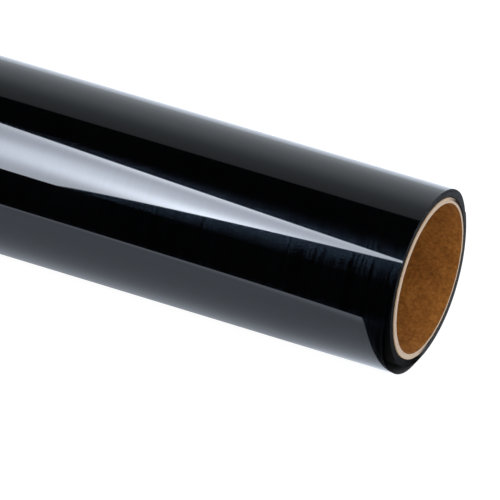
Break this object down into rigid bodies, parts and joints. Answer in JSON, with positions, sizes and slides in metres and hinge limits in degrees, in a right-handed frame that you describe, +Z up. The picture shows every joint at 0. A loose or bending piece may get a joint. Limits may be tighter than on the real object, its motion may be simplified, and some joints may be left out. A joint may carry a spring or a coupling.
{
  "type": "roll of sign vinyl",
  "caption": "Glossy black self-adhesive vinyl film on its release liner, wound on a paperboard core, with a slack last turn and a free tail that unrolls and peels.",
  "frame": {"origin": "on the axis of the core's bore, half way along the core", "axes": "+X along the roll's axis, towards the end that faces the viewer; +Z up, with the roll lying on its side; -Y is the front, where the slack of the last turn bulges"},
  "size_m": [0.611, 0.095, 0.0904],
  "materials": {
    "kraft_inner": "matte brown kraft paperboard",
    "kraft_body": "matte grey-tan paperboard with a rough sawn edge",
    "kraft_outer": "matte tan paperboard",
    "start_tape": "thin double-sided tissue tape, adhesive both faces",
    "liner": "smoke-grey polyester release film, satin, silicone-coated on its outer face",
    "film": "high-gloss black vinyl with a clear adhesive coat on its inner face"
  },
  "bodies": {
    "roll": {"core_inner_ply": "kraft_inner", "core_body_ply_1": "kraft_body", "core_body_ply_2": "kraft_body", "core_body_ply_3": "kraft_body", "core_outer_ply": "kraft_outer", "core_start_tape": "start_tape", "release_liner": "liner", "vinyl_film": "film"},
    "tail_1": {"tail_liner_1": "liner", "tail_film_1": "film"},
    "tail_2": {"tail_liner_2": "liner", "tail_film_2": "film"},
    "tail_3": {"tail_liner_3": "liner", "tail_film_3": "film"},
    "tail_4": {"tail_liner_4": "liner", "tail_film_4": "film"},
    "tail_5": {"tail_liner_5": "liner", "tail_film_5": "film"},
    "tail_6": {"tail_liner_6": "liner", "tail_film_6": "film"},
    "film_edge": {"film_lead_edge": "film"}
  },
  "joints": [
    {"name": "tail_unroll_1", "type": "hinge", "parent": "roll", "child": "tail_1", "pos_m": [0, 0.00781, -0.04458], "axis": [-1, 0, 0], "range_deg": [0, 14], "stiffness_Nm_per_rad": 0.008, "springref_deg": -11.46},
    {"name": "tail_unroll_2", "type": "hinge", "parent": "tail_1", "child": "tail_2", "pos_m": [0, 0.01928, -0.04097], "axis": [-1, 0, 0], "range_deg": [0, 14], "stiffness_Nm_per_rad": 0.008, "springref_deg": -11.46},
    {"name": "tail_unroll_3", "type": "hinge", "parent": "tail_2", "child": "tail_3", "pos_m": [0, 0.02941, -0.03449], "axis": [-1, 0, 0], "range_deg": [0, 14], "stiffness_Nm_per_rad": 0.008, "springref_deg": -11.46},
    {"name": "tail_unroll_4", "type": "hinge", "parent": "tail_3", "child": "tail_4", "pos_m": [0, 0.03751, -0.0256], "axis": [-1, 0, 0], "range_deg": [0, 14], "stiffness_Nm_per_rad": 0.008, "springref_deg": -11.46},
    {"name": "tail_unroll_5", "type": "hinge", "parent": "tail_4", "child": "tail_5", "pos_m": [0, 0.04301, -0.0149], "axis": [-1, 0, 0], "range_deg": [0, 14], "stiffness_Nm_per_rad": 0.008, "springref_deg": -11.46},
    {"name": "tail_unroll_6", "type": "hinge", "parent": "tail_5", "child": "tail_6", "pos_m": [0, 0.04553, -0.00314], "axis": [-1, 0, 0], "range_deg": [0, 14], "stiffness_Nm_per_rad": 0.008, "springref_deg": -11.46},
    {"name": "film_peel", "type": "hinge", "parent": "tail_6", "child": "film_edge", "pos_m": [0, 0.0457, 0.00087], "axis": [-1, 0, 0], "range_deg": [0, 120], "stiffness_Nm_per_rad": 0.001, "springref_deg": -5.73}
  ],
  "couplings": [
    {"joint": "tail_unroll_2", "follows": "tail_unroll_1", "ratio": 1},
    {"joint": "tail_unroll_3", "follows": "tail_unroll_1", "ratio": 1},
    {"joint": "tail_unroll_4", "follows": "tail_unroll_1", "ratio": 1},
    {"joint": "tail_unroll_5", "follows": "tail_unroll_1", "ratio": 1},
    {"joint": "tail_unroll_6", "follows": "tail_unroll_1", "ratio": 1}
  ]
}
